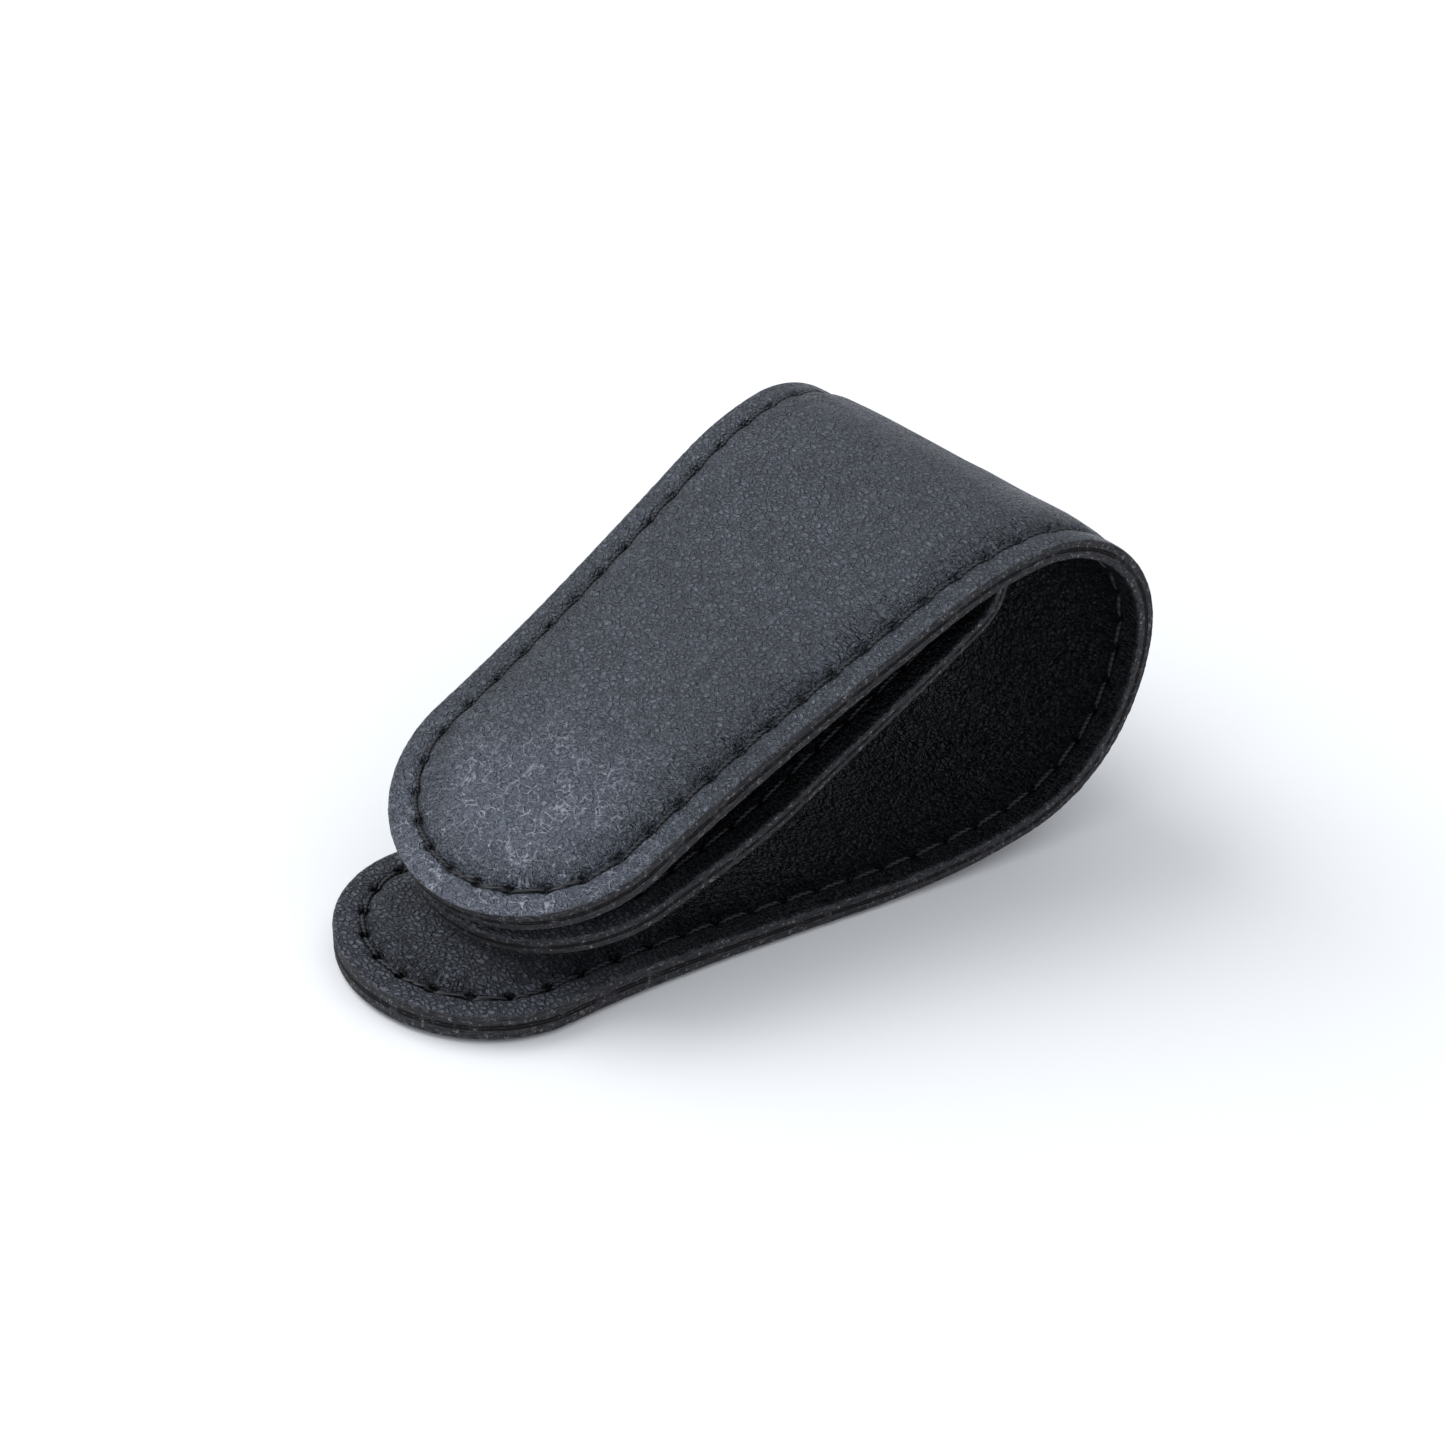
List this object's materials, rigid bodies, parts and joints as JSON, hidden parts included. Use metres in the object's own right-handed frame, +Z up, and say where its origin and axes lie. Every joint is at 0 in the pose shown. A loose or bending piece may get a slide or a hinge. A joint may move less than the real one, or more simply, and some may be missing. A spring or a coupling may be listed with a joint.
{
  "type": "magnetic folded leather money clip",
  "caption": "Tapered padded leather strap folded into a loop, with a round-tipped inner tongue, stitched edges and magnets in its tips that close the leaves on notes.",
  "frame": {"origin": "centre of the bounding box at the table, under the middle of the clip", "axes": "+X from the leaf tips to the folded loop, +Y across the strap, +Z up from the lower leaf to the upper leaf"},
  "size_m": [0.0808, 0.045, 0.0358],
  "materials": {
    "cover_leather": "fine pebbled grain, satin",
    "lining_leather": "fine grain, matte",
    "foam": "matte padding board",
    "magnet": "nickel plated",
    "thread": "waxed twisted thread"
  },
  "bodies": {
    "lower_leaf": {"lower_outer_cover": "cover_leather", "lower_lining": "lining_leather", "lower_pad": "foam", "lower_magnet": "magnet", "lower_outer_stitching": "thread", "lower_inner_stitching": "thread"},
    "loop": {"loop_outer_cover": "cover_leather", "loop_lining": "lining_leather", "loop_pad": "foam", "loop_outer_stitching": "thread", "loop_inner_stitching": "thread"},
    "upper_leaf": {"upper_outer_cover": "cover_leather", "upper_lining": "lining_leather", "upper_pad": "foam", "upper_magnet": "magnet", "upper_outer_stitching": "thread", "upper_inner_stitching": "thread", "tongue_root_tab": "cover_leather"},
    "tongue": {"tongue_top_cover": "cover_leather", "tongue_bottom_cover": "cover_leather", "tongue_pad": "foam", "tongue_magnet": "magnet", "tongue_top_stitching": "thread", "tongue_bottom_stitching": "thread"}
  },
  "joints": [
    {"name": "lower_flex", "type": "hinge", "parent": "lower_leaf", "child": "loop", "pos_m": [0.025, 0, 0.00242], "axis": [0, 1, 0], "range_deg": [0, 10], "stiffness_Nm_per_rad": 0.3},
    {"name": "upper_flex", "type": "hinge", "parent": "loop", "child": "upper_leaf", "pos_m": [0.02438, 0, 0.0357], "axis": [0, 1, 0], "range_deg": [0, 18], "stiffness_Nm_per_rad": 0.3},
    {"name": "tongue_flex", "type": "hinge", "parent": "upper_leaf", "child": "tongue", "pos_m": [0.02033, 0, 0.032], "axis": [0, 1, 0], "range_deg": [-9, 0]}
  ],
  "couplings": [
    {"joint": "tongue_flex", "follows": "upper_flex", "ratio": -0.5}
  ]
}
